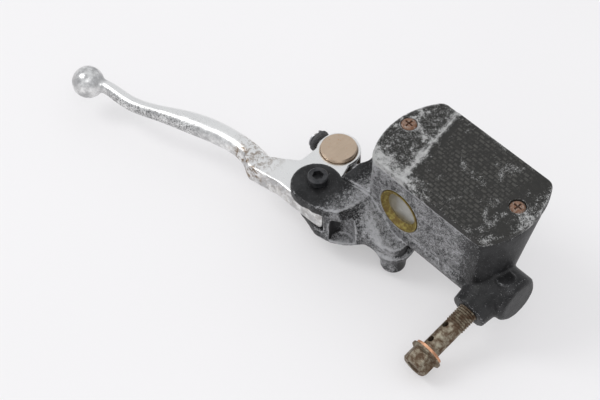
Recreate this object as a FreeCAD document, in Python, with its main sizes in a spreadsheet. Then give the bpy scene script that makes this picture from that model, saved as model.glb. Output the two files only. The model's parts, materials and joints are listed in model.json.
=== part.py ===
import FreeCAD, Part
import math
import os
import re

import Sketcher
from FreeCAD import Placement, Rotation, Vector

# A front brake master cylinder with an integral reservoir, lever and handlebar clamp.
#
# Frame: millimetres. The origin is the centre of the handlebar clamp, on the bar's axis.
# +X runs along the bar from the lever's ball towards the outlet, +Y towards the rider
# and +Z up, square to the reservoir cap.

doc = FreeCAD.newDocument("brake_master_cylinder")

# ---------------------------------------------------------------- driving dimensions
DIMENSIONS = [
    # handlebar clamp
    ("bar_radius", 11.1), ("saddle_width", 24), ("clamp_bolt_height", 17.3),
    ("clamp_split", 0.8), ("clamp_wall", 5.5), ("clamp_boss_radius", 6.2),
    ("clamp_bolt_radius", 3), ("clamp_bolt_reach", 10), ("saddle_boss_length", 10.5),
    ("holder_boss_length", 8.2),
    # hydraulic bore, parallel to the bar
    ("bore_y", -30), ("bore_z", 9), ("bore_radius", 7), ("housing_radius", 12),
    ("mouth_x", -7), ("housing_end_x", 88), ("end_face_x", 90), ("end_face_radius", 10),
    ("bore_end_x", 80), ("boot_seat_radius", 8.8), ("boot_seat_end_x", 4.7),
    # outlet boss with its banjo bolt
    ("outlet_x", 76.3), ("outlet_droop", 14), ("outlet_face", 19.1),
    ("outlet_root_radius", 11), ("outlet_face_radius", 9), ("thread_radius", 4.95),
    ("thread_pitch", 1.25), ("shank_radius", 4.6), ("flange_face", 46), ("bolt_depth", 9),
    # reservoir and cap
    ("cap_left_x", 5.3), ("cap_right_x", 72.3), ("cap_front_y", -42), ("cap_far_y", 6.6),
    ("cap_bulge", 8), ("cap_top_z", 48.5), ("cap_rim_z", 44.3), ("floor_z", 20.5),
    ("tank_wall", 4), ("front_wall", 5.6), ("tank_foot_z", 14), ("tank_foot_far_y", -15), ("lip_depth", 2.4),
    ("screw_left_x", 3), ("screw_right_x", 70.4), ("screw_y", -15.2),
    ("screw_head_radius", 3.7), ("screw_radius", 2),
    # sight glass in the front wall
    ("sight_x", 23.9), ("sight_z", 24), ("sight_radius", 11.6), ("sight_depth", 4.2),
    ("sight_window_radius", 7.6),
    # lever and its pivot
    ("pivot_x", -17.5), ("pivot_y", -54), ("pivot_radius", 3), ("lever_half", 5.5),
    ("slot_half", 5.8), ("ear_thickness", 5.4), ("ear_radius", 12.6),
    ("lower_ear_radius", 9), ("bush_radius", 5),
    ("scoop_x", 6), ("scoop_y", -60.5), ("scoop_radius", 6.2),
    ("hub_x", -28), ("barrel_radius", 9), ("hub_radius", 11), ("barrel_top", 7.4),
    ("ball_x", -152.3), ("ball_y", -89.2), ("ball_radius", 8.5),
    # threaded lug for the brake light switch
    ("lug_x", 25), ("lug_y", -44), ("lug_bottom_z", -13.5), ("lug_radius", 6.2),
    ("switch_thread_radius", 2), ("switch_thread_depth", 9),
    # push rod and adjuster
    ("rod_radius", 3), ("rod_tip_x", -3.5), ("wheel_x", -43.4),
    ("wheel_thickness", 3), ("wheel_radius", 5.8),
    # piston and its seals
    ("piston_rear_x", -5), ("piston_stem_radius", 5.5), ("piston_land_x", 6),
    ("piston_front_x", 30), ("cup_width", 4), ("running", 0.04),
]
SIZES = dict(DIMENSIONS)
WORDS = re.compile(r"\b(" + "|".join(sorted(SIZES, key=len, reverse=True)) + r")\b")
sheet = doc.addObject("Spreadsheet::Sheet", "sizes")
for row, (alias, value) in enumerate(DIMENSIONS, start=1):
    sheet.set("A%d" % row, alias)
    sheet.set("B%d" % row, str(value))
    sheet.setAlias("B%d" % row, alias)
doc.recompute()


# ---------------------------------------------------------------- modelling helpers
def formula(text):
    """A spreadsheet formula from plain words, such as 'bore_radius + 2'."""
    return WORDS.sub(r"sizes.\1", str(text))


def number(text):
    """What a formula comes to now."""
    return float(sheet.evalExpression(formula(text)))


def bind(thing, **formulas):
    for prop, text in formulas.items():
        thing.setExpression(prop, formula(text))
    return thing


def put(thing, at=(0, 0, 0), turn=None):
    """Places an object: its rotation as a value, its position bound to the sheet."""
    thing.Placement = Placement(Vector(), turn or Rotation())
    for letter, text in zip("xyz", at):
        thing.setExpression("Placement.Base." + letter, formula(text))
    return thing


def towards(x, y, z, start=Vector(0, 0, 1)):
    """The rotation that turns an object's own axis to a direction."""
    return Rotation(start, Vector(x, y, z))


DROOP = math.radians(SIZES["outlet_droop"])
OUTLET = Vector(0, -math.cos(DROOP), -math.sin(DROOP))
ALONG_X = towards(1, 0, 0)
ALONG_Y = towards(0, 1, 0)
ALONG_OUTLET = towards(*OUTLET)
TURNED_UP = towards(0, 0, 1, Vector(1, 0, 0))
TURNED_FRONT = towards(0, -1, 0, Vector(1, 0, 0))
TURNED_OUTLET = towards(*OUTLET, Vector(1, 0, 0))


def cylinder(name, radius, height, at, turn=None):
    thing = doc.addObject("Part::Cylinder", name)
    return put(bind(thing, Radius=radius, Height=height), at, turn)


def cone(name, radius_1, radius_2, height, at, turn=None):
    thing = doc.addObject("Part::Cone", name)
    return put(bind(thing, Radius1=radius_1, Radius2=radius_2, Height=height), at, turn)


def box(name, size, at):
    thing = doc.addObject("Part::Box", name)
    return put(bind(thing, Length=size[0], Width=size[1], Height=size[2]), at)


def fuse(name, things):
    """Joins objects two at a time, the last join carrying the name."""
    joined = things[0]
    for index, thing in enumerate(things[1:], start=1):
        step = name if index == len(things) - 1 else "%s_%d" % (name, index)
        union = doc.addObject("Part::Fuse", step)
        union.Base = joined
        union.Tool = thing
        joined = union
    return joined


def cut(name, base, tools):
    thing = doc.addObject("Part::Cut", name)
    thing.Base = base
    thing.Tool = tools[0] if len(tools) == 1 else fuse(name + "_tools", tools)
    return thing


def fix_point(sketch, edge, end, name, across, up):
    """Holds one end of a sketch edge at a place bound to the sheet."""
    for kind, text in (("DistanceX", across), ("DistanceY", up)):
        held = Sketcher.Constraint(kind, -1, 1, edge, end, number(text))
        place = sketch.addConstraint(held)
        sketch.renameConstraint(place, name + kind[-1])
        sketch.setExpression("Constraints." + name + kind[-1], formula(text))


def draw_outline(sketch, points):
    """A closed outline of straight sides, every corner bound to the sheet."""
    corners = [Vector(number(across), number(up), 0) for across, up in points]
    count = len(points)
    for index in range(count):
        side = Part.LineSegment(corners[index], corners[(index + 1) % count])
        sketch.addGeometry(side, False)
    for index in range(count):
        joined = Sketcher.Constraint("Coincident", index, 2, (index + 1) % count, 1)
        sketch.addConstraint(joined)
    for index, (across, up) in enumerate(points):
        fix_point(sketch, index, 1, "corner%d" % index, across, up)


def draw_bulged(sketch, left, right, front, far, bulge):
    """The reservoir's plan: straight front and far sides, and ends that bulge as arcs."""
    x_0, x_1, y_0, y_1, rise = (number(text) for text in (left, right, front, far, bulge))
    half = (y_1 - y_0) / 2
    radius = (half ** 2 + rise ** 2) / (2 * rise)
    swing = math.asin(half / radius)
    middle = (y_0 + y_1) / 2
    up = Vector(0, 0, 1)
    right_round = Part.Circle(Vector(x_1 + rise - radius, middle, 0), up, radius)
    left_round = Part.Circle(Vector(x_0 - rise + radius, middle, 0), up, radius)
    sketch.addGeometry(Part.LineSegment(Vector(x_0, y_0, 0), Vector(x_1, y_0, 0)), False)
    sketch.addGeometry(Part.ArcOfCircle(right_round, -swing, swing), False)
    sketch.addGeometry(Part.LineSegment(Vector(x_1, y_1, 0), Vector(x_0, y_1, 0)), False)
    turned = Part.ArcOfCircle(left_round, math.pi - swing, math.pi + swing)
    sketch.addGeometry(turned, False)
    for index in range(4):
        joined = Sketcher.Constraint("Coincident", index, 2, (index + 1) % 4, 1)
        sketch.addConstraint(joined)
    fix_point(sketch, 0, 1, "front_left", left, front)
    fix_point(sketch, 0, 2, "front_right", right, front)
    fix_point(sketch, 2, 1, "far_right", right, far)
    fix_point(sketch, 2, 2, "far_left", left, far)
    size = "((%s)^2 + ((%s) - (%s))^2 / 4) / (2 * (%s))" % (bulge, far, front, bulge)
    for edge, name in ((1, "right_bulge"), (3, "left_bulge")):
        place = sketch.addConstraint(Sketcher.Constraint("Radius", edge, radius))
        sketch.renameConstraint(place, name)
        sketch.setExpression("Constraints." + name, formula(size))


def free_sketch(name, drawing, sizes, height):
    """A sketch of its own at a height, for an extrusion or a loft."""
    sketch = doc.addObject("Sketcher::SketchObject", name)
    drawing(sketch, *sizes)
    return put(sketch, (0, 0, height))


def extruded(name, drawing, sizes, low, high):
    sketch = free_sketch(name + "_plan", drawing, sizes, low)
    thing = doc.addObject("Part::Extrusion", name)
    thing.Base = sketch
    thing.DirMode = "Custom"
    thing.Dir = Vector(0, 0, 1)
    thing.Solid = True
    return bind(thing, LengthFwd="(%s) - (%s)" % (high, low))


def lofted(name, sections):
    thing = doc.addObject("Part::Loft", name)
    thing.Sections = sections
    thing.Solid = True
    return thing


def body_sketch(body, name, role="XY_Plane"):
    sketch = body.newObject("Sketcher::SketchObject", name)
    plane = [one for one in body.Origin.OriginFeatures if one.Role == role][0]
    sketch.AttachmentSupport = [(plane, "")]
    sketch.MapMode = "FlatFace"
    return sketch


def turned(name, profile, at=(0, 0, 0), turn=None):
    """A turned piece: a half profile of (along, radius) corners spun about its own X."""
    body = doc.addObject("PartDesign::Body", name)
    sketch = body_sketch(body, name + "_profile")
    draw_outline(sketch, profile)
    spin = body.newObject("PartDesign::Revolution", name + "_spin")
    spin.Profile = sketch
    spin.ReferenceAxis = (sketch, ["H_Axis"])
    spin.Angle = 360
    return put(body, at, turn)


def padded(name, drawing, sizes, thickness, at):
    """A plate padded upwards from its plan."""
    body = doc.addObject("PartDesign::Body", name)
    sketch = body_sketch(body, name + "_plan")
    drawing(sketch, *sizes)
    pad = body.newObject("PartDesign::Pad", name + "_pad")
    pad.Profile = sketch
    bind(pad, Length=thickness)
    return put(body, at)


def round_off(body, name, radius, wanted):
    """Fillets the edges of a body's last feature that a test picks out."""
    doc.recompute()
    base = body.Tip
    names = []
    for index, edge in enumerate(base.Shape.Edges, start=1):
        if wanted(edge):
            names.append("Edge%d" % index)
    fillet = body.newObject("PartDesign::Fillet", name)
    fillet.Base = (base, names)
    bind(fillet, Radius=radius)
    return fillet


def upright(edge):
    """Whether an edge runs straight up."""
    low, high = edge.Vertexes[0].Point, edge.Vertexes[-1].Point
    return abs((high - low).z) > 1 and (high - low).cross(Vector(0, 0, 1)).Length < 0.01


def level_at(height):
    """A test for edges that lie level at a height of the body's own frame."""
    def wanted(edge):
        box_of_edge = edge.BoundBox
        return abs(box_of_edge.ZMin - height) < 0.01 and abs(box_of_edge.ZMax - height) < 0.01
    return wanted


def draw_spots(sketch, places, radius):
    """Round holes, each centre and radius bound to the sheet."""
    for index, (across, up) in enumerate(places):
        middle = Vector(number(across), number(up), 0)
        sketch.addGeometry(Part.Circle(middle, Vector(0, 0, 1), number(radius)), False)
        fix_point(sketch, index, 3, "spot%d" % index, across, up)
        place = sketch.addConstraint(Sketcher.Constraint("Radius", index, number(radius)))
        sketch.renameConstraint(place, "radius%d" % index)
        sketch.setExpression("Constraints.radius%d" % index, formula(radius))


def pocket(body, name, drawing, sizes, start="0"):
    """Cuts a shape out of a body from a height of its own frame upwards."""
    sketch = body_sketch(body, name + "_plan")
    drawing(sketch, *sizes)
    bind(sketch, **{"AttachmentOffset.Base.z": start})
    hollow = body.newObject("PartDesign::Pocket", name)
    hollow.Profile = sketch
    hollow.Reversed = True
    hollow.Type = "ThroughAll"
    return hollow


def group(name, things):
    """Identical pieces that share one node, as separate solids."""
    thing = doc.addObject("Part::Compound", name)
    thing.Links = things
    return thing


def hexagon(name, width, height, at, turn=None):
    """A hexagonal prism by its width across flats."""
    thing = doc.addObject("Part::Prism", name)
    thing.Polygon = 6
    return put(bind(thing, Circumradius="(%s) / 2 / cos(30)" % width, Height=height), at, turn)


# ---------------------------------------------------------------- the casting
def tank_section(name, inset, far_y, height):
    """One level of the reservoir's outside or inside, the inset taken all round."""
    edges = ("cap_left_x + %s" % inset, "cap_right_x - %s" % inset,
             "cap_front_y + %s" % inset, "%s - %s" % (far_y, inset), "cap_bulge")
    return free_sketch(name, draw_bulged, edges, height)


def reservoir_outside():
    foot = tank_section("tank_foot", "0.3", "tank_foot_far_y", "tank_foot_z")
    top = tank_section("tank_top", "0.3", "cap_far_y", "cap_rim_z")
    return lofted("tank", [foot, top])


def chamber_plan(spread, far_y):
    """The fluid chamber's corners: square ends, which leave room for the cap screws."""
    left = "screw_left_x + 6 - (%s)" % spread
    right = "screw_right_x - 6 + (%s)" % spread
    front = "cap_front_y + front_wall - (%s)" % spread
    far = "%s + (%s)" % (far_y, spread)
    return [(left, front), (right, front), (right, far), (left, far)]


def reservoir_inside():
    floor = free_sketch("chamber_floor", draw_outline,
                        (chamber_plan("0", "tank_foot_far_y - 1.5"),), "floor_z")
    brim = free_sketch("chamber_brim", draw_outline,
                       (chamber_plan("0", "cap_far_y - tank_wall"),), "cap_rim_z + 0.2")
    return lofted("chamber", [floor, brim])


def diaphragm_seat():
    return extruded("lip", draw_outline, (chamber_plan("1.8", "cap_far_y - tank_wall"),),
                    "cap_rim_z - lip_depth", "cap_rim_z + 1")


EAR_LOW = "bore_z - slot_half - ear_thickness"
EAR_HIGH = "bore_z + slot_half + ear_thickness"


def perch():
    """The clevis for the lever: two ears on a web that widens downwards to the lug."""
    foot = [("pivot_x", "pivot_y - lower_ear_radius"), ("mouth_x", "pivot_y - 11.9"),
            ("mouth_x + 8.5", "pivot_y - 9.9"), ("mouth_x + 14.7", "pivot_y - 5.9"),
            ("mouth_x + 20.8", "pivot_y + 1.5"), ("lug_x", "pivot_y + 2.9"),
            ("lug_x", "bore_y"), ("mouth_x - 3.5", "bore_y + 9"),
            ("mouth_x - 3.5", "pivot_y + 9"), ("pivot_x - lower_ear_radius + 0.5", "pivot_y + 3")]
    brow = [("pivot_x + 2", "pivot_y - ear_radius - 1"), ("mouth_x - 1.9", "pivot_y - 13.2"),
            ("mouth_x + 4.6", "pivot_y - 9.7"), ("mouth_x + 9.5", "pivot_y - 6.5"),
            ("mouth_x + 11.5", "pivot_y + 1"), ("mouth_x + 12.5", "cap_front_y - 1"),
            ("mouth_x + 12.5", "bore_y"), ("mouth_x - 3.5", "bore_y + 9"),
            ("mouth_x - 3.5", "pivot_y + 9"), ("pivot_x - ear_radius + 2.5", "pivot_y + 6")]
    base = extruded("perch_base", draw_outline, (foot,), EAR_LOW, "bore_z - slot_half")
    low = free_sketch("perch_foot", draw_outline, (foot,), "bore_z - slot_half")
    high = free_sketch("perch_brow", draw_outline, (brow,), EAR_HIGH)
    upper = cylinder("upper_ear", "ear_radius", "ear_thickness",
                     ("pivot_x + 0.8", "pivot_y - 1.5", "bore_z + slot_half"))
    lower = cylinder("lower_ear", "lower_ear_radius", "ear_thickness",
                     ("pivot_x", "pivot_y", EAR_LOW))
    shoulder = [("mouth_x - 3.5", "bore_y - 15"), ("cap_left_x + 1", "cap_front_y"),
                ("cap_left_x + 1", "bore_y + 10"), ("mouth_x - 3.5", "bore_y + 10")]
    roof = extruded("perch_shoulder", draw_outline, (shoulder,), "bore_z", "bore_z + 13")
    return [base, lofted("perch_web", [low, high]), upper, lower, roof]


def saddle():
    """The half clamp for the bar, with bolt bosses above and below it."""
    height = "2 * clamp_bolt_height"
    block = box("saddle_block", ("saddle_width", "-bore_y - clamp_split", height),
                ("-saddle_width / 2", "bore_y", "-clamp_bolt_height"))
    bosses = []
    for name, side in (("upper", "clamp_bolt_height"), ("lower", "-clamp_bolt_height")):
        boss = cylinder("saddle_boss_" + name, "clamp_boss_radius", "saddle_boss_length",
                        (0, "-saddle_boss_length - clamp_split", side), ALONG_Y)
        bosses.append(boss)
    relief = cylinder("saddle_relief", "6", "saddle_width + 2",
                      ("-saddle_width / 2 - 1", "bore_y", "-clamp_bolt_height"), ALONG_X)
    return [cut("saddle_arm", block, [relief])] + bosses


def switch_lug():
    """The threaded lug below the housing that takes the brake light switch."""
    post = cylinder("lug_post", "lug_radius", "bore_z - 4 - lug_bottom_z",
                    ("lug_x", "lug_y", "lug_bottom_z"))
    gusset = cone("lug_gusset", "lug_radius", "lug_radius + 4.3", "10.8",
                  ("lug_x - 2", "lug_y + 2", "lug_bottom_z + 1.5"))
    return [post, gusset]


def outlet_end():
    boss = cone("outlet_boss", "outlet_root_radius", "outlet_face_radius", "outlet_face",
                ("outlet_x", "bore_y", "bore_z"), ALONG_OUTLET)
    spot = cylinder("cast_spot", "4.5", "4", ("outlet_x + 6", "bore_y - 2", "bore_z + 8.6"))
    return [boss, spot]


def casting_solids():
    housing = cylinder("housing", "housing_radius", "housing_end_x - mouth_x",
                       ("mouth_x", "bore_y", "bore_z"), ALONG_X)
    nose = cone("housing_nose", "housing_radius", "end_face_radius",
                "end_face_x - housing_end_x", ("housing_end_x", "bore_y", "bore_z"), ALONG_X)
    solids = [housing, nose, reservoir_outside()]
    return solids + perch() + saddle() + switch_lug() + outlet_end()


def on_axis(x):
    """A place on the bore's axis."""
    return (x, "bore_y", "bore_z")


def bore_cuts():
    """The stepped bore, its ports up to the reservoir and its threaded way out."""
    return [
        cylinder("bore", "bore_radius", "bore_end_x - mouth_x + 6", on_axis("mouth_x - 6"), ALONG_X),
        cone("bore_drill_point", "bore_radius", "1", "4", on_axis("bore_end_x"), ALONG_X),
        cylinder("boot_seat", "boot_seat_radius", "boot_seat_end_x - mouth_x + 6",
                 on_axis("mouth_x - 6"), ALONG_X),
        cylinder("circlip_groove", "boot_seat_radius + 0.9", "1.3",
                 on_axis("boot_seat_end_x - 2.75"), ALONG_X),
        cylinder("supply_port", "1.5", "floor_z - bore_z + 1", ("22", "bore_y", "bore_z")),
        cylinder("relief_port", "0.6", "floor_z - bore_z + 1", ("36.8", "bore_y", "bore_z")),
        cylinder("outlet_thread", "thread_radius + running", "outlet_face - 3",
                 ("outlet_x", "bore_y + 4 * cos(180 - outlet_droop)",
                  "bore_z - 4 * sin(outlet_droop)"), ALONG_OUTLET),
    ]


def lever_cuts():
    """The slot that the lever swings in, the way down for its barrel, and the web's scoop."""
    low = "bore_z - slot_half"
    high = "bore_z + slot_half"
    slot = [("pivot_x - 40", "pivot_y - 24"), ("pivot_x + 14.5", "pivot_y - 24"),
            ("pivot_x + 14.5", "pivot_y - 2"), ("mouth_x + 0.2", "pivot_y + 10"),
            ("mouth_x + 0.2", "bore_y + 14"), ("pivot_x - 40", "bore_y + 14")]
    cuts = [extruded("lever_slot", draw_outline, (slot,), low, high)]
    for index in range(4):
        cuts.append(cylinder("barrel_way_%d" % index, "barrel_radius + 0.8", "30",
                             ("hub_x + 3 * %d" % index, "bore_y + 0.8 * %d" % index, low)))
    cuts.append(cylinder("pivot_hole", "pivot_radius + 0.05", "60", ("pivot_x", "pivot_y", "-30")))
    cuts.append(cylinder("web_scoop", "scoop_radius", "14", ("scoop_x", "scoop_y", "bore_z - 9.5")))
    return cuts


def sight_cuts():
    mouth = ("sight_x", "cap_front_y - 1", "sight_z")
    return [cylinder("sight_pocket", "sight_radius", "sight_depth + 1", mouth, ALONG_Y),
            cylinder("sight_window", "sight_window_radius", "front_wall + 1.4", mouth, ALONG_Y)]


def fastener_cuts():
    cuts = [cylinder("bar_way", "bar_radius", "saddle_width + 60",
                     ("-saddle_width / 2 - 30", 0, 0), ALONG_X)]
    for index, side in enumerate(("clamp_bolt_height", "-clamp_bolt_height")):
        cuts.append(cylinder("clamp_thread_%d" % index, "clamp_bolt_radius", "clamp_bolt_reach + 1",
                             (0, "-clamp_bolt_reach - 1", side), ALONG_Y))
    for index, place in enumerate(("screw_left_x", "screw_right_x")):
        cuts.append(cylinder("cap_thread_%d" % index, "screw_radius", "12",
                             (place, "screw_y", "cap_rim_z - 10")))
    cuts.append(cylinder("switch_hole", "switch_thread_radius", "switch_thread_depth + 1",
                         ("lug_x", "lug_y", "lug_bottom_z - 1")))
    return cuts


def master_body():
    solids = fuse("casting", casting_solids())
    tools = [reservoir_inside(), diaphragm_seat()]
    for cuts in (bore_cuts(), lever_cuts(), sight_cuts(), fastener_cuts()):
        tools.extend(cuts)
    return cut("master_body", solids, tools)


# ---------------------------------------------------------------- reservoir cover
SCREW_PLACES = [("screw_left_x", "screw_y"), ("screw_right_x", "screw_y")]


def reservoir_cap():
    """A cast lid; its left part sits a step lower than the panel."""
    edges = ("cap_left_x", "cap_right_x", "cap_front_y", "cap_far_y", "cap_bulge")
    cap = padded("reservoir_cap", draw_bulged, edges, "cap_top_z - cap_rim_z", (0, 0, "cap_rim_z"))
    round_off(cap, "cap_corners", "5", upright)
    round_off(cap, "cap_brow", "0.9", level_at(number("cap_top_z - cap_rim_z")))
    step = [("cap_left_x - 20", "cap_far_y + 3"), ("cap_left_x - 20", "cap_front_y - 3"),
            ("cap_left_x + 19.4", "cap_front_y - 3"), ("cap_left_x + 8.2", "cap_far_y + 3")]
    pocket(cap, "cap_step", draw_outline, (step,), "cap_top_z - cap_rim_z - 0.6")
    pocket(cap, "screw_ways", draw_spots, (SCREW_PLACES, "screw_radius + 0.3"))
    pocket(cap, "head_seats", draw_spots, (SCREW_PLACES, "screw_head_radius + 0.35"),
           "cap_top_z - cap_rim_z - 2.2")
    return cap


def cap_screw(name, x, top):
    """A pan-head cross-recess screw."""
    blank = turned(name + "_blank", [
        (0, 0), (0, "screw_radius - 0.05"), (9.5, "screw_radius - 0.05"),
        (9.5, "screw_head_radius"), (10.7, "screw_head_radius"),
        (11.4, "screw_head_radius - 0.9"), (11.4, 0)],
        (x, "screw_y", top + " - 11.4"), TURNED_UP)
    bars = [box(name + "_bar_a", ("4.6", "0.9", "3"), (x + " - 2.3", "screw_y - 0.45", top + " - 1.6")),
            box(name + "_bar_b", ("0.9", "4.6", "3"), (x + " - 0.45", "screw_y - 2.3", top + " - 1.6"))]
    return cut(name, blank, bars)


def cap_screws():
    left = cap_screw("screw_left", "screw_left_x", "(cap_top_z - 0.3)")
    right = cap_screw("screw_right", "screw_right_x", "(cap_top_z - 0.3)")
    return group("cap_screws", [left, right])


def diaphragm_plate():
    plan = chamber_plan("1.6", "cap_far_y - tank_wall")
    plate = padded("diaphragm_plate", draw_outline, (plan,), "1.1", (0, 0, "cap_rim_z - 1.15"))
    vents = [("cap_left_x + 20", "screw_y"), ("cap_right_x - 20", "screw_y")]
    pocket(plate, "plate_vents", draw_spots, (vents, "1.5"))
    return plate


def diaphragm():
    """A rubber tray that hangs into the chamber and keeps air off the fluid."""
    rim = extruded("diaphragm_rim", draw_outline,
                   (chamber_plan("1.6", "cap_far_y - tank_wall"),),
                   "cap_rim_z - lip_depth + 0.02", "cap_rim_z - 1.2")
    sunk = extruded("diaphragm_sunk", draw_outline,
                    (chamber_plan("-1", "cap_far_y - tank_wall - 10"),),
                    "cap_rim_z - 11", "cap_rim_z - 1.2")
    room = extruded("diaphragm_room", draw_outline,
                    (chamber_plan("-2.2", "cap_far_y - tank_wall - 10"),),
                    "cap_rim_z - 9.8", "cap_rim_z")
    return cut("diaphragm", fuse("diaphragm_blank", [rim, sunk]), [room])


def port_shield():
    """A folded steel cover over the two ports, open at its ends."""
    outer = box("shield_outer", ("24", "9", "3.4"), ("18", "bore_y - 4.5", "floor_z"))
    under = box("shield_under", ("26", "7.8", "2.8"), ("17", "bore_y - 3.9", "floor_z - 0.1"))
    return cut("port_shield", outer, [under])


# ---------------------------------------------------------------- sight glass
def sight_piece(name, profile):
    """A turned piece of the sight glass, measured forwards from the pocket's floor."""
    return turned(name, profile, ("sight_x", "cap_front_y + sight_depth", "sight_z"), TURNED_FRONT)


def sight_glass():
    seal = sight_piece("sight_glass_seal", [
        (0.02, "sight_window_radius + 0.2"), (0.02, "sight_radius - 0.3"),
        (0.75, "sight_radius - 0.3"), (0.75, "sight_window_radius + 0.2")])
    lens = sight_piece("sight_glass_lens", [
        (0.8, 0), (0.8, "sight_radius - 0.2"), (1.6, "sight_radius - 0.2"),
        (1.6, "sight_window_radius + 0.6"), (1.9, "sight_window_radius - 1"), (2, 0)])
    ring = sight_piece("sight_glass_ring", [
        (1.65, "sight_window_radius + 0.9"), (1.65, "sight_radius - 0.06"),
        ("sight_depth - 0.1", "sight_radius - 0.06"), ("sight_depth - 0.1", "sight_radius - 0.9"),
        (3, "sight_radius - 1.5")])
    return [seal, lens, ring]


# ---------------------------------------------------------------- lever
BLADE = [
    # centre x and y, half width in the lever's plane, half height
    (-147, -86.6, 3.7, 3.7), (-140.5, -84.2, 3.7, 3.7), (-125, -82.3, 3.9, 3.8),
    (-111.5, -76.7, 4.2, 4.1), (-97.4, -69.8, 5.7, 4.9), (-78.8, -63, 6.1, 5.2),
    (-62, -60.6, 5.9, 5.3), (-50, -61.2, 5.6, 5.3),
]


def blade():
    """The finger blade: ellipses square to its run, from the ball to the lever's root."""
    sections = []
    for index, (x, y, half_width, half_height) in enumerate(BLADE):
        before = BLADE[max(index - 1, 0)]
        after = BLADE[min(index + 1, len(BLADE) - 1)]
        heading = math.degrees(math.atan2(after[1] - before[1], after[0] - before[0]))
        ring = doc.addObject("Part::Ellipse", "blade_ring_%d" % index)
        bind(ring, MajorRadius=half_width, MinorRadius=half_height)
        stand = Rotation(Vector(1, 0, 0), 90)
        face = Rotation(Vector(0, 0, 1), heading + 90)
        sections.append(put(ring, (x, y, "bore_z"), face * stand))
    return lofted("blade", sections)


def lever_root():
    """The flat root: dog-leg, hub for the barrel, pivot eye and stop nose."""
    plan = [
        ("hub_x - 30", "pivot_y - 5"), ("hub_x - 20.5", "pivot_y - 3.4"),
        ("hub_x - 8.4", "pivot_y + 6"), ("hub_x - 8.4", "bore_y - 5"), ("hub_x", "bore_y"),
        ("hub_x + 10.4", "bore_y - 3"), ("pivot_x + 8.7", "pivot_y + 1"),
        ("pivot_x + 14.1", "pivot_y - 8"), ("pivot_x + 12.4", "pivot_y - 10.8"),
        ("pivot_x - 16", "pivot_y - 11.8"), ("pivot_x - 26", "pivot_y - 14"),
        ("pivot_x - 33.5", "pivot_y - 15.4"), ("pivot_x - 40", "pivot_y - 12.2"),
        ("hub_x - 30", "pivot_y - 8.5")]
    return extruded("lever_root", draw_outline, (plan,), "bore_z - lever_half",
                    "bore_z + lever_half")


def lever():
    low = "bore_z - lever_half"
    hub = cylinder("lever_hub", "hub_radius", "2 * lever_half", ("hub_x", "bore_y", low))
    ball = doc.addObject("Part::Sphere", "lever_ball")
    put(bind(ball, Radius="ball_radius"), ("ball_x", "ball_y", "bore_z"))
    solid = fuse("lever_blank", [lever_root(), hub, blade(), ball])
    barrel_hole = cylinder("lever_barrel_hole", "barrel_radius + running", "40",
                           ("hub_x", "bore_y", "bore_z - 20"))
    eye = cylinder("lever_eye", "bush_radius", "40", ("pivot_x", "pivot_y", "bore_z - 20"))
    rod_way = box("lever_rod_way", ("2 * hub_radius + 4", "13", "2 * rod_radius + 1"),
                  ("hub_x - hub_radius - 2", "bore_y - 6.5", "bore_z - rod_radius - 0.5"))
    return cut("lever", solid, [barrel_hole, eye, rod_way])


def pivot_set():
    """The pivot bolt, with a socket head, its bush in the lever, and its nut."""
    top = "bore_z + slot_half + ear_thickness"
    bottom = "bore_z - slot_half - ear_thickness"
    bush = turned("pivot_bush", [
        (0.05, "pivot_radius + running"), (0.05, "bush_radius - 0.01"),
        ("2 * lever_half - 0.05", "bush_radius - 0.01"),
        ("2 * lever_half - 0.05", "pivot_radius + running")],
        ("pivot_x", "pivot_y", "bore_z - lever_half"), TURNED_UP)
    length = "2 * slot_half + 2 * ear_thickness + 6.5"
    blank = turned("pivot_bolt_blank", [
        (0, 0), (0, "pivot_radius - 0.4"), (0.4, "pivot_radius"), (length, "pivot_radius"),
        (length, 4.7), (length + " + 0.3", 5), (length + " + 3.5", 5), (length + " + 4", 4.5),
        (length + " + 4", 0)],
        ("pivot_x", "pivot_y", bottom + " - 6.5"), TURNED_UP)
    socket = hexagon("pivot_socket", "5", "5", ("pivot_x", "pivot_y", top + " + 1.2"))
    bolt = cut("pivot_bolt", blank, [socket])
    washer_blank = cylinder("pivot_washer_blank", "5.8", "1",
                            ("pivot_x", "pivot_y", bottom + " - 1.02"))
    washer_hole = cylinder("pivot_washer_hole", "pivot_radius + 0.2", "3",
                           ("pivot_x", "pivot_y", bottom + " - 2"))
    washer = cut("pivot_washer", washer_blank, [washer_hole])
    nut_blank = hexagon("pivot_nut_blank", "10", "4.6", ("pivot_x", "pivot_y", bottom + " - 5.65"))
    nut_hole = cylinder("pivot_nut_hole", "pivot_radius + 0.02", "8",
                        ("pivot_x", "pivot_y", bottom + " - 7"))
    nut = cut("pivot_nut", nut_blank, [nut_hole])
    return [bush, bolt, washer, nut]


# ---------------------------------------------------------------- push rod and adjuster
def push_rod_barrel():
    """The cross barrel in the lever's hub; the rod screws through it."""
    height = "barrel_top + lever_half - 0.1"
    blank = turned("barrel_blank", [
        (0, 0), (0, "barrel_radius - 0.5"), (0.5, "barrel_radius"),
        (height + " - 0.5", "barrel_radius"), (height, "barrel_radius - 0.5"), (height, 0)],
        ("hub_x", "bore_y", "bore_z - lever_half + 0.1"), TURNED_UP)
    hole = cylinder("barrel_hole", "rod_radius + running", "30", ("hub_x - 15", "bore_y", "bore_z"),
                    ALONG_X)
    return cut("push_rod_barrel", blank, [hole])


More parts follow.
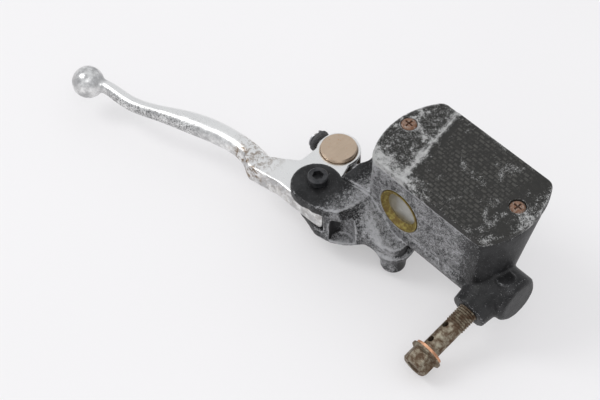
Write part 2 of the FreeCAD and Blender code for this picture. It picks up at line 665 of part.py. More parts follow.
def push_rod():
    """The rod from the adjuster wheel, through the barrel, to its blunt tip in the piston."""
    start = "wheel_x - 1.9"
    length = "rod_tip_x - wheel_x + 1.9"
    return turned("push_rod", [
        (0, 0), (0, "rod_radius - 0.6"), (0.5, "rod_radius - 0.1"), (0.9, "rod_radius - 0.1"),
        (0.9, "rod_radius - 0.7"), (1.75, "rod_radius - 0.7"), (1.75, "rod_radius"),
        (length + " - 2", "rod_radius"), (length + " - 0.9", "rod_radius - 0.5"),
        (length, "rod_radius - 1.8"), (length, 0)],
        (start, "bore_y", "bore_z"))


def adjuster_wheel():
    """A finely notched finger wheel on the outer end of the rod."""
    wheel = turned("adjuster_wheel", [
        (0, "rod_radius + 0.01"), (0, "wheel_radius - 1.6"), (0.5, "wheel_radius - 0.6"),
        (1, "wheel_radius"), ("wheel_thickness - 0.8", "wheel_radius"),
        ("wheel_thickness", "wheel_radius - 0.8"), ("wheel_thickness", "rod_radius + 0.01")],
        ("wheel_x", "bore_y", "bore_z"))
    notch = body_sketch(wheel, "wheel_notch_plan", "YZ_Plane")
    draw_spots(notch, [(0, "wheel_radius + 0.25")], "0.45")
    groove = wheel.newObject("PartDesign::Pocket", "wheel_notch")
    groove.Profile = notch
    groove.Reversed = True
    groove.Type = "ThroughAll"
    ring = wheel.newObject("PartDesign::PolarPattern", "wheel_notches")
    ring.Originals = [groove]
    ring.Axis = (notch, ["N_Axis"])
    ring.Angle = 360
    ring.Occurrences = 20
    wheel.Tip = ring
    return wheel


def wheel_clip():
    """The spring clip that keeps the wheel on the rod."""
    at = ("wheel_x - 0.95", "bore_y", "bore_z")
    disc = cylinder("clip_disc", "rod_radius + 1.8", "0.75", at, ALONG_X)
    hole = cylinder("clip_hole", "rod_radius - 0.68", "3", on_axis("wheel_x - 2"), ALONG_X)
    gap = box("clip_gap", ("3", "3.6", "10"), ("wheel_x - 2", "bore_y - 1.8", "bore_z"))
    return cut("wheel_clip", disc, [hole, gap])


# ---------------------------------------------------------------- piston and seals
def on_bore(name, profile):
    """A turned piece on the bore's axis, its profile in (x, radius)."""
    return turned(name, profile, (0, "bore_y", "bore_z"))


def piston_set():
    fit = "bore_radius - running"
    rear = "piston_land_x"
    front = "piston_front_x"
    piston = on_bore("piston", [
        ("piston_rear_x + 1.8", 0), ("piston_rear_x + 1.8", "rod_radius + 0.6"),
        ("piston_rear_x", "rod_radius + 1.2"), ("piston_rear_x", "piston_stem_radius"),
        (rear, "piston_stem_radius"), (rear, fit), (rear + " + 5", fit), (rear + " + 5", 4),
        (rear + " + 9.2", 4), (rear + " + 9.2", fit), (rear + " + 11", fit), (rear + " + 11", 4.4),
        (front + " - 2.4", 4.4), (front + " - 2.4", fit), (front, fit), (front, 3),
        (front + " + 4.5", 3), (front + " + 4.5", 0)])
    rear_cup = on_bore("secondary_cup", [
        (rear + " + 5.05", 4.02), (rear + " + 5.05", fit), (rear + " + 6.6", "bore_radius - 0.3"),
        (rear + " + 9.1", fit), (rear + " + 8.4", 5.4), (rear + " + 9.1", 4.02)])
    front_cup = on_bore("primary_cup", [
        (front + " + 0.05", 3.02), (front + " + 0.05", fit), (front + " + 1.4", "bore_radius - 0.3"),
        (front + " + cup_width", fit), (front + " + cup_width - 1", 5.2),
        (front + " + cup_width - 1", 3.02)])
    seat = on_bore("spring_seat", [
        (front + " + cup_width - 0.9", 3.05), (front + " + cup_width - 0.9", 4.9),
        (front + " + cup_width + 0.2", 4.9), (front + " + cup_width + 0.2", 5.9),
        (front + " + cup_width + 1", 5.9), (front + " + cup_width + 1", 3.05)])
    return [piston, rear_cup, front_cup, seat]


def return_spring():
    """A compression spring between the seat and the bore's closed end."""
    wire_radius = 0.6
    coil_radius = 4.9
    start = number("piston_front_x + cup_width + 1.1") + wire_radius
    length = number("bore_end_x") - 0.1 - wire_radius - start
    turns = 11
    helix = Part.makeHelix(length / turns, length, coil_radius)
    middle = Vector(coil_radius, 0, 0)
    section = Part.Wire(Part.makeCircle(wire_radius, middle, Vector(0, 1, 0)))
    thing = doc.addObject("Part::Feature", "return_spring")
    thing.Shape = Part.Wire(helix).makePipeShell([section], True, True)
    thing.Placement = Placement(Vector(start, number("bore_y"), number("bore_z")), ALONG_X)
    return thing


def retaining_set():
    seat_end = "boot_seat_end_x"
    washer = on_bore("retaining_washer", [
        (seat_end + " - 1.3", "piston_stem_radius + 0.08"),
        (seat_end + " - 1.3", "boot_seat_radius - 0.1"),
        (seat_end + " - 0.05", "boot_seat_radius - 0.1"),
        (seat_end + " - 0.05", "piston_stem_radius + 0.08")])
    at = (seat_end + " - 2.6", "bore_y", "bore_z")
    ring = cylinder("circlip_ring", "boot_seat_radius + 0.8", "1", at, ALONG_X)
    hole = cylinder("circlip_hole", "boot_seat_radius - 1.4", "4", (0, "bore_y", "bore_z"), ALONG_X)
    gap = box("circlip_gap", ("4", "5", "12"), (0, "bore_y - 2.5", "bore_z - 12"))
    clip = cut("circlip", ring, [hole, gap])
    boot = on_bore("dust_boot", [
        ("mouth_x + 0.4", 4.4), ("mouth_x + 0.4", "boot_seat_radius - 0.1"),
        ("mouth_x + 8.2", "boot_seat_radius - 0.1"), ("mouth_x + 8.2", "boot_seat_radius - 1.2"),
        ("mouth_x + 3", "boot_seat_radius - 1.4"), ("mouth_x + 3", "boot_seat_radius - 2.6"),
        ("mouth_x + 1.5", "boot_seat_radius - 2.6"), ("mouth_x + 1.5", 4.4)])
    return [washer, clip, boot]


# ---------------------------------------------------------------- handlebar clamp
def clamp_holder():
    """The cap half of the clamp, on the rider's side of the bar."""
    outer = "bar_radius + clamp_wall"
    round_part = cylinder("holder_round", outer, "saddle_width", ("-saddle_width / 2", 0, 0), ALONG_X)
    strap = box("holder_strap", ("saddle_width - 8", "holder_boss_length", "2 * clamp_bolt_height"),
                ("4 - saddle_width / 2", "clamp_split", "-clamp_bolt_height"))
    blank = [round_part, strap]
    tools = [cylinder("holder_bar", "bar_radius", "saddle_width + 4",
                      ("-saddle_width / 2 - 2", 0, 0), ALONG_X),
             box("holder_half", ("saddle_width + 4", "40", "60"),
                 ("-saddle_width / 2 - 2", "clamp_split - 40", "-30"))]
    for name, side in (("upper", "clamp_bolt_height"), ("lower", "-clamp_bolt_height")):
        blank.append(cylinder("holder_boss_" + name, "clamp_boss_radius", "holder_boss_length",
                              (0, "clamp_split", side), ALONG_Y))
        tools.append(cylinder("holder_way_" + name, "clamp_bolt_radius + 0.3", "30",
                              (0, "-5", side), ALONG_Y))
        tools.append(cylinder("holder_seat_" + name, "clamp_boss_radius + 0.2", "12",
                              (0, "clamp_split + holder_boss_length", side), ALONG_Y))
    return cut("clamp_holder", fuse("holder_blank", blank), tools)


def clamp_fasteners():
    bolts = []
    washers = []
    face = "clamp_split + holder_boss_length"
    for name, side in (("upper", "clamp_bolt_height"), ("lower", "-clamp_bolt_height")):
        shank = cylinder("clamp_shank_" + name, "clamp_bolt_radius - 0.03",
                         "clamp_bolt_reach + holder_boss_length + 1.2",
                         (0, "1 - clamp_bolt_reach", side), ALONG_Y)
        head = hexagon("clamp_head_" + name, "10", "5", (0, face + " + 1.1", side), ALONG_Y)
        bolts.append(fuse("clamp_bolt_" + name, [shank, head]))
        disc = cylinder("clamp_disc_" + name, "5.9", "1.02", (0, face + " + 0.04", side), ALONG_Y)
        hole = cylinder("clamp_eye_" + name, "clamp_bolt_radius + 0.2", "6", (0, face + " - 2", side),
                        ALONG_Y)
        washers.append(cut("clamp_washer_" + name, disc, [hole]))
    return [group("clamp_bolts", bolts), group("clamp_washers", washers)]


# ---------------------------------------------------------------- banjo bolt
THREAD_DEPTH = 0.55
THREAD_TURNS = 14
CROSS_HOLE_RADIUS = 1.6
CROSS_HOLE_TURN = 30


def from_outlet(distance):
    """The formula for a place on the outlet's axis, at a distance from the bore's axis."""
    return ("outlet_x", "bore_y - (%s) * cos(outlet_droop)" % distance,
            "bore_z - (%s) * sin(outlet_droop)" % distance)


def banjo_profile():
    """The bolt's half profile, measured from its tip: ridged thread, shank, flange."""
    points = [(0, 0), (0, "thread_radius - 1"), (0.6, "thread_radius - %s" % THREAD_DEPTH)]
    for turn in range(THREAD_TURNS):
        points.append(("0.6 + thread_pitch * %s" % (turn + 0.5), "thread_radius"))
        points.append(("0.6 + thread_pitch * %d" % (turn + 1), "thread_radius - %s" % THREAD_DEPTH))
    tip_to_flange = "flange_face - (outlet_face - bolt_depth)"
    points.append(("1.2 + thread_pitch * %d" % THREAD_TURNS, "shank_radius"))
    points.append((tip_to_flange + " - 1.8", "shank_radius"))
    points.append((tip_to_flange + " - 1.8", "thread_radius"))
    points.append((tip_to_flange, "thread_radius"))
    points.append((tip_to_flange, 8.1))
    points.append((tip_to_flange + " + 1.1", 8.1))
    points.append((tip_to_flange + " + 2", 6.2))
    points.append((tip_to_flange + " + 2", 0))
    return points


def banjo_bolt():
    """A double banjo bolt, standing part unscrewed in the outlet."""
    tip = "outlet_face - bolt_depth"
    shank = turned("banjo_shank", banjo_profile(), from_outlet(tip), TURNED_OUTLET)
    head = hexagon("banjo_head", "12", "8", from_outlet("flange_face + 1"), ALONG_OUTLET)
    dome = cone("banjo_dome", "9.2", "4.7", "4.5", from_outlet("flange_face + 5.3"), ALONG_OUTLET)
    waist = cylinder("banjo_waist", "9.2", "5.31", from_outlet("flange_face"), ALONG_OUTLET)
    chamfered = doc.addObject("Part::Common", "banjo_hex")
    chamfered.Base = head
    chamfered.Tool = fuse("banjo_envelope", [waist, dome])
    tools = [cylinder("banjo_core", "1.9", "33", from_outlet(tip + " - 2"), ALONG_OUTLET),
             cylinder("banjo_dimple", "3.4", "3", from_outlet("flange_face + 8.2"), ALONG_OUTLET)]
    aim = Rotation(OUTLET, CROSS_HOLE_TURN) * Rotation(Vector(1, 0, 0), SIZES["outlet_droop"])
    for index, distance in enumerate((31, 40.6)):
        tools.append(cylinder("banjo_cross_%d" % index, CROSS_HOLE_RADIUS, "8",
                              from_outlet(distance), aim))
    return cut("banjo_bolt", fuse("banjo_blank", [shank, chamfered]), tools)


def copper_washer():
    return turned("copper_washer", [
        (0.05, "thread_radius + 0.1"), (0.05, 7.1), (1.5, 7.1), (1.5, "thread_radius + 0.1")],
        from_outlet("flange_face - 1.55"), TURNED_OUTLET)


# ---------------------------------------------------------------- everything
def build_pieces():
    pieces = [master_body(), reservoir_cap(), cap_screws(), diaphragm_plate(), diaphragm(),
              port_shield(), lever(), push_rod_barrel(), push_rod(), adjuster_wheel(),
              wheel_clip(), return_spring(), clamp_holder(), banjo_bolt(), copper_washer()]
    for several in (sight_glass(), pivot_set(), piston_set(), retaining_set(), clamp_fasteners()):
        pieces.extend(several)
    return pieces


def check_document():
    for thing in doc.Objects:
        faults = [word for word in thing.State if word in ("Invalid", "Error")]
        if faults:
            raise RuntimeError("%s is %s" % (thing.Name, faults))


def write_pieces(pieces):
    for piece in pieces:
        if piece.Shape.isNull() or not piece.Shape.isValid():
            raise RuntimeError("%s has no valid shape" % piece.Label)
    os.makedirs("parts", exist_ok=True)
    for piece in pieces:
        piece.Shape.exportStep("parts/%s.step" % piece.Label)


PIECES = build_pieces()
doc.recompute()
check_document()
write_pieces(PIECES)
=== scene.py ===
import json
import math

import bpy
from mathutils import Matrix, Vector


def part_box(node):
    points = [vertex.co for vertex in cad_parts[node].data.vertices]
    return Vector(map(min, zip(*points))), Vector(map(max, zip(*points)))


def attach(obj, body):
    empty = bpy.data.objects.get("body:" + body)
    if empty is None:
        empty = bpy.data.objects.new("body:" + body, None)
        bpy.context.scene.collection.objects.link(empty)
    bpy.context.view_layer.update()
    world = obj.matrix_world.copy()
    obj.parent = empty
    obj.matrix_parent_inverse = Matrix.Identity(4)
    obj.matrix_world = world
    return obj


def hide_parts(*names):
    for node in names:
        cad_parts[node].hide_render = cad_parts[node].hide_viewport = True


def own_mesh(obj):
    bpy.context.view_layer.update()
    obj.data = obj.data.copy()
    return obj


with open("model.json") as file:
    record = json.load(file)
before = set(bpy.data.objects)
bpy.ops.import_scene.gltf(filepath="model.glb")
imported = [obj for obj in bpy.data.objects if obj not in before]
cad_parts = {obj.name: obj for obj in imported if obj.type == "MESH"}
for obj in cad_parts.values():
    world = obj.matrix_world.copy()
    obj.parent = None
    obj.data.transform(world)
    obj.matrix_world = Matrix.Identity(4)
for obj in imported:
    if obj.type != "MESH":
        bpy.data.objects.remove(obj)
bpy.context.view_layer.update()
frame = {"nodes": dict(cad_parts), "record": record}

MM = 0.001
SCENE = bpy.context.scene


# ---------------------------------------------------------------- materials
class Recipe:
    """One procedural material: a Principled shader and the nodes that feed it."""

    def __init__(self, name, colour, metallic=0.0, roughness=0.5):
        self.material = bpy.data.materials.new(name)
        self.material.use_nodes = True
        self.tree = self.material.node_tree
        self.shader = self.tree.nodes["Principled BSDF"]
        self.place = self.add("ShaderNodeTexCoord").outputs["Object"]
        self.set("Base Color", (*colour, 1))
        self.set("Metallic", metallic)
        self.set("Roughness", roughness)

    def set(self, name, value):
        """Gives the shader a constant, or links a node's output to it."""
        socket = self.shader.inputs[name]
        if isinstance(value, bpy.types.NodeSocket):
            self.tree.links.new(value, socket)
        else:
            socket.default_value = value

    def add(self, kind, inputs=(), **settings):
        """A node, with its inputs by name or number, each a value or another's output."""
        node = self.tree.nodes.new(kind)
        for name, value in settings.items():
            setattr(node, name, value)
        for name, value in dict(inputs).items():
            if isinstance(value, bpy.types.NodeSocket):
                self.tree.links.new(value, node.inputs[name])
            else:
                node.inputs[name].default_value = value
        return node

    def stretched(self, x, y, z):
        """Object coordinates scaled along each axis, for grain that runs one way."""
        return self.add("ShaderNodeMapping", {"Vector": self.place, "Scale": (x, y, z)}).outputs[0]

    def noise(self, size_mm, detail=4.0, roughness=0.55, distortion=0.0, place=None):
        """Noise with features of about a size in millimetres."""
        return self.add("ShaderNodeTexNoise", {
            "Vector": place or self.place, "Scale": 1 / (size_mm * MM), "Detail": detail,
            "Roughness": roughness, "Distortion": distortion}).outputs[0]

    def mask(self, value, low, high):
        """0 below low and 1 above high, smoothly; the other way round if low is higher."""
        node = self.add("ShaderNodeMapRange", {"Value": value, "From Min": low, "From Max": high},
                        interpolation_type="SMOOTHSTEP")
        return node.outputs[0]

    def math(self, operation, first, second):
        return self.add("ShaderNodeMath", {0: first, 1: second}, operation=operation).outputs[0]

    def times(self, first, second):
        return self.math("MULTIPLY", first, second)

    def most(self, first, second):
        return self.math("MAXIMUM", first, second)

    def plus(self, first, second):
        return self.math("ADD", first, second)

    def mix(self, share, first, second):
        """A colour between two, each a tuple or another node's colour."""
        values = [(*one, 1) if isinstance(one, tuple) and len(one) == 3 else one
                  for one in (first, second)]
        node = self.add("ShaderNodeMix", {0: share, 6: values[0], 7: values[1]}, data_type="RGBA")
        return node.outputs[2]

    def axis(self, letter):
        """One object coordinate, in metres."""
        split = self.add("ShaderNodeSeparateXYZ", {0: self.place})
        return split.outputs["XYZ".index(letter)]

    def facing(self, letter):
        """How far the surface faces along an axis, from -1 to 1, in the part's own frame."""
        normal = self.add("ShaderNodeTexCoord").outputs["Normal"]
        return self.add("ShaderNodeSeparateXYZ", {0: normal}).outputs["XYZ".index(letter)]

    def edges(self, low=0.505, high=0.53):
        """Worn outer edges, from the mesh's own curvature."""
        return self.mask(self.add("ShaderNodeNewGeometry").outputs["Pointiness"], low, high)

    def bump(self, height, depth_mm, strength=1.0):
        """Adds relief of a depth in millimetres over what is there already."""
        inputs = {"Height": height, "Distance": depth_mm * MM, "Strength": strength}
        linked = self.shader.inputs["Normal"].links
        if linked:
            inputs["Normal"] = linked[0].from_socket
        self.set("Normal", self.add("ShaderNodeBump", inputs).outputs[0])

    def roughness(self, value, low, high):
        """Roughness that follows a 0 to 1 value."""
        node = self.add("ShaderNodeMapRange", {"Value": value, "To Min": low, "To Max": high})
        self.set("Roughness", node.outputs[0])


def cast_black():
    """Black paint over a rough casting; pale oxide breaks through it in fine specks, denser on the
    front and top faces, partly as a painted highlight where the light falls.
    """
    paint = Recipe("cast_black", (0.014, 0.014, 0.015), roughness=0.45)
    paint.set("Specular IOR Level", 0.3)
    grit = paint.noise(0.42, 3, 0.75)
    flecks = paint.noise(1.7, 5, 0.7)
    patches = paint.noise(8, 5, 0.62)
    x = paint.axis("X")
    zone = paint.times(paint.mask(x, -0.011, 0.003), paint.mask(x, 0.076, 0.056))
    # Painted highlight: faces turned to the front and top get more pale specks, partly real oxide and
    # partly the light those faces catch.
    front = paint.mask(paint.facing("Y"), -0.2, -0.85)
    top = paint.mask(paint.facing("Z"), 0.1, 0.8)
    oxide_and_light = paint.times(zone, paint.plus(paint.times(front, 0.20), paint.times(top, 0.23)))
    oxide_and_light = paint.times(oxide_and_light, paint.plus(paint.times(patches, 1.2), 0.45))
    oxide_and_light = paint.plus(oxide_and_light, paint.times(paint.edges(), 0.10))
    oxide_and_light = paint.plus(oxide_and_light, paint.times(paint.math("SUBTRACT", flecks, 0.5), 0.5))
    level = paint.math("SUBTRACT", 0.66, oxide_and_light)
    specks = paint.mask(paint.math("SUBTRACT", grit, level), -0.03, 0.11)
    tint = paint.mix(flecks, (0.13, 0.13, 0.135), (0.50, 0.50, 0.51))
    soot = paint.mix(paint.mask(patches, 0.35, 0.7), (0.005, 0.005, 0.0055),
                     (0.022, 0.022, 0.023))
    paint.set("Base Color", paint.mix(specks, soot, tint))
    paint.roughness(paint.most(specks, paint.times(flecks, 0.5)), 0.30, 0.85)
    paint.bump(specks, 0.07)
    paint.bump(flecks, 0.10, 0.6)
    return paint.material


# The lid's step line runs where x + LID_SLANT * y is LID_STEP, in metres.
LID_SLANT = 0.205
LID_STEP = 0.0155


def cap_black():
    """The lid: worn black paint, white along its rim, its step line and its lower end."""
    paint = Recipe("cap_black", (0.02, 0.02, 0.021), roughness=0.5)
    paint.set("Specular IOR Level", 0.3)
    grit = paint.noise(0.5, 4, 0.75)
    patches = paint.noise(10, 6, 0.66, 0.5)
    fine = paint.noise(2.2, 5, 0.65)
    x = paint.axis("X")
    y = paint.axis("Y")
    across = paint.plus(x, paint.times(y, LID_SLANT))
    step = paint.mask(paint.math("ABSOLUTE", paint.math("SUBTRACT", across, LID_STEP), 0),
                      0.0030, 0.0004)
    left = paint.mask(across, LID_STEP + 0.002, LID_STEP - 0.003)
    front = paint.times(paint.mask(y, -0.031, -0.040), paint.mask(x, 0.050, 0.030))
    right = paint.times(paint.mask(x, 0.069, 0.077), paint.mask(y, -0.030, -0.020))
    amount = paint.plus(paint.times(paint.edges(0.49, 0.55), 0.16), paint.times(left, 0.11))
    amount = paint.plus(amount, paint.times(step, 0.19))
    amount = paint.plus(amount, paint.times(paint.most(front, right), 0.13))
    amount = paint.plus(amount, paint.times(paint.mask(patches, 0.48, 0.66), 0.18))
    amount = paint.plus(amount, paint.times(paint.math("SUBTRACT", fine, 0.5), 0.50))
    level = paint.math("SUBTRACT", 0.69, amount)
    specks = paint.mask(paint.math("SUBTRACT", grit, level), -0.04, 0.10)
    rows = paint.add("ShaderNodeTexBrick", {"Vector": paint.place, "Scale": 1 / MM, "Mortar Size": 0.55,
                                            "Mortar Smooth": 0.5, "Brick Width": 3.4,
                                            "Row Height": 2.1}).outputs["Fac"]
    panel = paint.times(paint.mask(across, LID_STEP + 0.004, LID_STEP + 0.006),
                        paint.mask(x, 0.066, 0.062))
    worn = paint.mask(paint.noise(2.6, 4, 0.7), 0.40, 0.58)
    strokes = paint.times(paint.times(panel, worn), paint.math("SUBTRACT", 1, rows))
    soot = paint.mix(paint.times(fine, 0.8), (0.008, 0.008, 0.008), (0.042, 0.040, 0.035))
    soot = paint.mix(paint.times(strokes, 0.9), soot, (0.066, 0.064, 0.058))
    tint = paint.mix(fine, (0.17, 0.17, 0.17), (0.60, 0.60, 0.59))
    paint.set("Base Color", paint.mix(specks, soot, tint))
    paint.roughness(paint.most(specks, fine), 0.36, 0.8)
    paint.bump(strokes, 0.25, 0.8)
    paint.bump(specks, 0.08)
    paint.bump(fine, 0.10, 0.6)
    return paint.material


def worn_metal(name, colour, stain, grain_mm=1.5, stained=0.35, roughness=0.3, dull=0.6,
               metallic=1.0, relief_mm=0.03, stain_mm=4):
    """Bare or plated metal with a fine grain, and stains where dirt has settled."""
    metal = Recipe(name, colour, metallic, roughness)
    grain = metal.noise(grain_mm, 4, 0.6)
    dirt = metal.mask(metal.noise(stain_mm, 6, 0.68, 0.3), 1 - stained - 0.25, 1 - stained + 0.12)
    metal.set("Base Color", metal.mix(dirt, metal.mix(grain, tuple(0.8 * c for c in colour), colour),
                                      stain))
    metal.roughness(metal.most(metal.times(grain, 0.5), dirt), roughness, dull)
    metal.bump(metal.noise(grain_mm / 3, 3, 0.6), relief_mm, 0.6)
    return metal.material


def lever_aluminium():
    """Hand-worn polished aluminium: long soft scratches, dirt specks, a brown stain, and painted shade
    that darkens the front faces and the ball.
    """
    metal = Recipe("lever_aluminium", (0.86, 0.86, 0.85), 1.0, 0.28)
    long_way = metal.stretched(0.18, 1, 1)
    scratches = metal.noise(0.7, 5, 0.7, 0.0, long_way)
    haze = metal.noise(14, 4, 0.55)
    x = metal.axis("X")
    outer = metal.mask(x, -0.06, -0.09)
    ball = metal.mask(x, -0.141, -0.147)
    front = metal.mask(metal.facing("Y"), 0.1, -0.8)
    band = metal.times(metal.mask(x, -0.082, -0.092), metal.mask(x, -0.146, -0.132))
    pits = metal.times(metal.mask(metal.noise(0.8, 5, 0.8), 0.47, 0.60),
                       metal.plus(metal.times(metal.times(front, band), 0.85),
                                  metal.times(outer, 0.10)))
    neck = metal.times(metal.mask(x, -0.072, -0.060),
                       metal.plus(metal.mask(x, -0.036, -0.050), metal.times(front, 0.45)))
    brown = metal.times(metal.times(neck, metal.mask(metal.noise(2.6, 6, 0.75, 0.6), 0.46, 0.60)), 0.7)
    # Painted shade: noisy darker grey on front-facing surfaces and on the ball, standing in for their
    # dark reflections.
    painted_shade = metal.times(metal.mask(metal.noise(5, 5, 0.65), 0.32, 0.62),
                          metal.most(metal.times(front, 0.9), ball))
    shine = metal.mix(metal.times(haze, 0.6), (0.90, 0.90, 0.89), (0.72, 0.72, 0.72))
    shine = metal.mix(metal.times(painted_shade, 0.85), shine, (0.34, 0.34, 0.345))
    colour = metal.mix(pits, shine, (0.12, 0.12, 0.12))
    metal.set("Base Color", metal.mix(brown, colour, (0.20, 0.14, 0.09)))
    worn = metal.most(metal.times(scratches, 0.55), metal.most(pits, brown))
    metal.roughness(worn, 0.20, 0.55)
    metal.bump(scratches, 0.012, 0.5)
    metal.bump(metal.noise(9, 2, 0.5), 0.10, 0.5)
    return metal.material


def bronze():
    """Matte bronze, brushed across, with small copper pits scattered over it."""
    metal = Recipe("bronze", (0.56, 0.44, 0.33), 1.0, 0.42)
    brushed = metal.noise(1.1, 5, 0.65, 0.0, metal.stretched(1, 0.12, 1))
    mottle = metal.noise(4.5, 4, 0.6)
    pits = metal.mask(metal.noise(1.1, 5, 0.72), 0.62, 0.68)
    base = metal.mix(metal.plus(metal.times(brushed, 0.5), metal.times(mottle, 0.5)),
                     (0.44, 0.345, 0.26), (0.66, 0.53, 0.41))
    metal.set("Base Color", metal.mix(pits, base, (0.50, 0.22, 0.10)))
    metal.roughness(metal.plus(metal.times(brushed, 0.7), pits), 0.34, 0.62)
    metal.bump(brushed, 0.02, 0.5)
    return metal.material


def moulded(name, colour, roughness, relief_mm, grain_mm=0.8):
    """Moulded plastic or rubber with a fine skin and a little dust."""
    skin = Recipe(name, colour, 0.0, roughness)
    grain = skin.noise(grain_mm, 4, 0.6)
    dust = skin.mask(skin.noise(3.5, 5, 0.65), 0.50, 0.75)
    pale = tuple(min(1, 2.6 * c + 0.02) for c in colour)
    skin.set("Base Color", skin.mix(skin.times(dust, 0.6), colour, pale))
    skin.roughness(skin.most(dust, grain), roughness - 0.08, min(1, roughness + 0.22))
    skin.bump(grain, relief_mm, 0.6)
    return skin.material


def sight_lens():
    """Milky, aged clear plastic with a darker fluid line low in the glass."""
    lens = Recipe("sight_lens", (0.80, 0.80, 0.76), 0.0, 0.12)
    haze = lens.noise(3.0, 4, 0.6)
    low = lens.mask(lens.axis("Z"), 0.0235, 0.0175)
    side = lens.mask(lens.axis("X"), 0.0235, 0.0195)
    stain = lens.most(lens.times(low, 0.85), lens.times(side, 0.55))
    base = lens.mix(haze, (0.21, 0.205, 0.185), (0.42, 0.41, 0.37))
    lens.set("Base Color", lens.mix(stain, base, (0.13, 0.10, 0.04)))
    lens.set("Transmission Weight", 0.15)
    lens.set("Coat Weight", 0.6)
    lens.set("Coat Roughness", 0.06)
    lens.roughness(haze, 0.10, 0.30)
    lens.bump(haze, 0.02, 0.5)
    return lens.material


def make_finishes():
    return {
        "cast_black": cast_black(),
        "cap_black": cap_black(),
        "lever_aluminium": lever_aluminium(),
        "bronze": bronze(),
        "wheel_plastic": moulded("wheel_plastic", (0.045, 0.045, 0.047), 0.5, 0.03),
        "black_steel": worn_metal("black_steel", (0.030, 0.031, 0.034), (0.075, 0.075, 0.078),
                                  1.0, 0.4, 0.34, 0.6, 0.6),
        "zinc_steel": worn_metal("zinc_steel", (0.60, 0.60, 0.61), (0.30, 0.25, 0.20), 1.2, 0.3, 0.3),
        "spring_steel": worn_metal("spring_steel", (0.42, 0.42, 0.44), (0.14, 0.11, 0.09), 0.8, 0.3),
        "rusty_screw": worn_metal("rusty_screw", (0.40, 0.35, 0.31), (0.24, 0.12, 0.07), 0.5, 0.5,
                                  0.4, 0.85, 0.6, 0.08, 1.3),
        "banjo_steel": worn_metal("banjo_steel", (0.40, 0.37, 0.29), (0.13, 0.085, 0.055), 0.8, 0.5,
                                  0.34, 0.75, 0.9, 0.04, 3),
        "copper": worn_metal("copper", (0.76, 0.42, 0.26), (0.30, 0.14, 0.08), 0.7, 0.38, 0.34, 0.65),
        "seal_rubber": moulded("seal_rubber", (0.016, 0.016, 0.016), 0.72, 0.02),
        "piston_aluminium": worn_metal("piston_aluminium", (0.58, 0.56, 0.50), (0.30, 0.28, 0.22)),
        "sight_ring": worn_metal("sight_ring", (0.34, 0.29, 0.075), (0.15, 0.10, 0.03), 0.6, 0.5,
                                 0.36, 0.7, 0.55, 0.05, 2),
        "sight_lens": sight_lens(),
        "shield_steel": worn_metal("shield_steel", (0.58, 0.58, 0.57), (0.32, 0.29, 0.24)),
    }


FINISHES = make_finishes()
SLOT_OF = {row["node"]: row["material_slot"] for row in frame["record"]["subparts"]}


def paint_nodes():
    """Every CAD node takes its slot's finish."""
    for name, node in frame["nodes"].items():
        node.data.materials.clear()
        node.data.materials.append(FINISHES[SLOT_OF[name]])


# ---------------------------------------------------------------- mesh helpers
def baked(piece):
    """Applies a piece's modifiers by keeping the mesh that they make."""
    graph = bpy.context.evaluated_depsgraph_get()
    mesh = bpy.data.meshes.new_from_object(piece.evaluated_get(graph))
    piece.modifiers.clear()
    piece.data = mesh
    return piece


def finish_piece(piece, body, nodes):
    """Puts a piece on its body, in place of CAD nodes, with its finish."""
    slot = SLOT_OF[nodes[0]]
    piece.data.materials.clear()
    piece.data.materials.append(FINISHES[slot])
    for face in piece.data.polygons:
        face.use_smooth = True
    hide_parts(*nodes)
    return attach(piece, body)


def voxel_copy(node, name, voxel_mm):
    """A CAD node's shape as an even mesh, ready to be smoothed."""
    piece = bpy.data.objects.new(name, frame["nodes"][node].data.copy())
    SCENE.collection.objects.link(piece)
    weld = piece.modifiers.new("weld", "WELD")
    weld.merge_threshold = 1e-6
    remesh = piece.modifiers.new("remesh", "REMESH")
    remesh.mode = "VOXEL"
    remesh.voxel_size = voxel_mm * MM
    return baked(piece)


def melt(piece, rounds, weight=None):
    """Rounds a mesh's edges; weight says how much at each point, from 0 to 1."""
    smooth = piece.modifiers.new("melt", "SMOOTH")
    smooth.factor = 0.5
    smooth.iterations = rounds
    if weight:
        group = piece.vertex_groups.new(name="melt")
        for vertex in piece.data.vertices:
            group.add([vertex.index], weight(vertex.co), "REPLACE")
        smooth.vertex_group = "melt"
    baked(piece)
    piece.vertex_groups.clear()
    return piece


def roughen(piece, depth_mm, size_mm):
    """Gives a casting its uneven skin."""
    clouds = bpy.data.textures.new(piece.name + "_skin", "CLOUDS")
    clouds.noise_scale = size_mm * MM
    clouds.noise_depth = 3
    skin = piece.modifiers.new("skin", "DISPLACE")
    skin.texture = clouds
    skin.texture_coords = "LOCAL"
    skin.strength = depth_mm * MM
    skin.mid_level = 0.5
    return baked(piece)


# ---------------------------------------------------------------- pieces
def make_casting():
    """The master cylinder's casting, its edges melted and its skin uneven."""
    piece = melt(voxel_copy("master_body", "body_casting", 0.55), 9)
    return finish_piece(roughen(piece, 0.16, 1.1), "root", ["master_body"])


def make_lid():
    piece = melt(voxel_copy("reservoir_cap", "reservoir_lid", 0.4), 3)
    return finish_piece(roughen(piece, 0.10, 0.9), "root", ["reservoir_cap"])


def make_holder():
    piece = melt(voxel_copy("clamp_holder", "clamp_casting", 0.6), 7)
    return finish_piece(roughen(piece, 0.12, 1.1), "root", ["clamp_holder"])


def make_lever():
    """The polished lever: full smoothing on the blade, a little at the thin hub and eye."""
    low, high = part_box("push_rod_barrel")
    hub = (low + high) / 2
    low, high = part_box("pivot_bush")
    eye = (low + high) / 2

    def weight(place):
        near = min((place - hub).length / (17 * MM), (place - eye).length / (13 * MM))
        return max(0.06, min(1, (near - 0.75) * 2.2))
    piece = melt(voxel_copy("lever", "polished_lever", 0.6), 5)
    return finish_piece(melt(piece, 30, weight), "lever", ["lever"])


def make_squashed(node, name):
    """A spring or boot, copied from its CAD node onto the root body with its finish, in a mesh of its
    own.
    """
    piece = bpy.data.objects.new(name, frame["nodes"][node].data.copy())
    SCENE.collection.objects.link(piece)
    finish_piece(piece, "root", [node])
    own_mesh(piece)


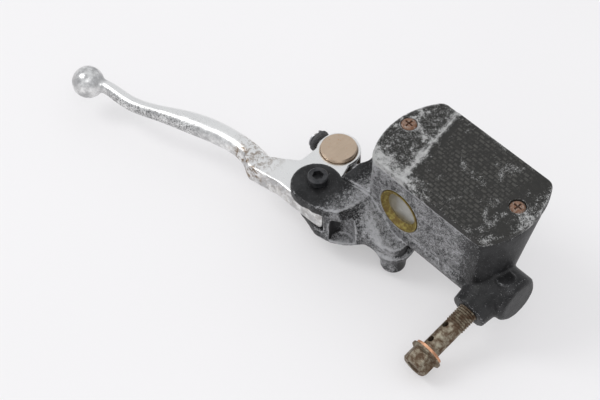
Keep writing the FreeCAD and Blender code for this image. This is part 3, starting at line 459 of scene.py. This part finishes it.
# ---------------------------------------------------------------- stage
FLOOR_TILT = math.radians(9.3)
FLOOR_HALF = 2.5
CAMERA_AZIMUTH = math.radians(47.5)
CAMERA_ELEVATION = math.radians(51.8)
CAMERA_ROLL = math.radians(-0.5)
CAMERA_AIM = Vector((-28.7, -55.4, -4.1)) * MM
CAMERA_DISTANCE = 0.7
CAMERA_LENS = 85.3


def floor_material():
    """Pale paper with a faint glow, which keeps the shadows soft."""
    paper = Recipe("floor_paper", (0.50, 0.50, 0.51), 0.0, 0.75)
    shade = paper.noise(180, 2, 0.5)
    paper.set("Base Color", paper.mix(shade, (0.49, 0.485, 0.49), (0.52, 0.515, 0.52)))
    paper.set("Emission Color", (1, 0.985, 0.99, 1))
    paper.set("Emission Strength", 0.37)
    paper.bump(paper.noise(1.5, 3, 0.5), 0.02, 0.3)
    return paper.material


def make_floor():
    """The surface the part lies on, tilted and set at the part's lowest point."""
    tilt = Matrix.Rotation(-FLOOR_TILT, 3, "X")
    normal = tilt @ Vector((0, 0, 1))
    heights = [normal.dot(vertex.co) for node in frame["nodes"].values()
               for vertex in node.data.vertices]
    mesh = bpy.data.meshes.new("floor")
    corners = [Vector((x, y, 0)) for x, y in ((-1, -1), (1, -1), (1, 1), (-1, 1))]
    points = [tilt @ (corner * FLOOR_HALF) + normal * min(heights) for corner in corners]
    mesh.from_pydata(points, [], [(0, 1, 2, 3)])
    floor = bpy.data.objects.new("floor", mesh)
    SCENE.collection.objects.link(floor)
    mesh.materials.append(floor_material())


def direction(azimuth, elevation):
    """The unit vector from the object towards an azimuth and elevation in degrees."""
    a, e = math.radians(azimuth), math.radians(elevation)
    return Vector((math.sin(a) * math.cos(e), -math.cos(a) * math.cos(e), math.sin(e)))


def make_light(name, azimuth, elevation, distance, size, power):
    light = bpy.data.lights.new(name, "AREA")
    light.shape = "DISK"
    light.size = size
    light.energy = power
    lamp = bpy.data.objects.new(name, light)
    SCENE.collection.objects.link(lamp)
    towards = direction(azimuth, elevation)
    lamp.location = CAMERA_AIM + towards * distance
    lamp.rotation_euler = towards.to_track_quat("Z", "Y").to_euler()


def make_lights():
    make_light("key", -55, 52, 2.5, 1.1, 17)
    make_light("fill", 60, 58, 2.5, 1.6, 7)
    world = bpy.data.worlds.new("studio")
    world.use_nodes = True
    sky = world.node_tree.nodes["Background"]
    sky.inputs["Color"].default_value = (0.93, 0.94, 0.96, 1)
    sky.inputs["Strength"].default_value = 0.84
    SCENE.world = world
    SCENE.view_settings.view_transform = "Standard"


def make_camera():
    """The camera, from above and to the right."""
    data = bpy.data.cameras.new("camera")
    data.lens = CAMERA_LENS
    camera = bpy.data.objects.new("camera", data)
    SCENE.collection.objects.link(camera)
    back = direction(math.degrees(CAMERA_AZIMUTH), math.degrees(CAMERA_ELEVATION))
    roll = Matrix.Rotation(CAMERA_ROLL, 3, "Z")
    camera.rotation_mode = "QUATERNION"
    camera.rotation_quaternion = (back.to_track_quat("Z", "Y").to_matrix() @ roll).to_quaternion()
    camera.location = CAMERA_AIM + back * CAMERA_DISTANCE
    SCENE.camera = camera


make_camera()
make_lights()
make_floor()
paint_nodes()
make_casting()
make_lid()
make_holder()
make_lever()
make_squashed("return_spring", "coil_spring")
make_squashed("dust_boot", "rubber_boot")
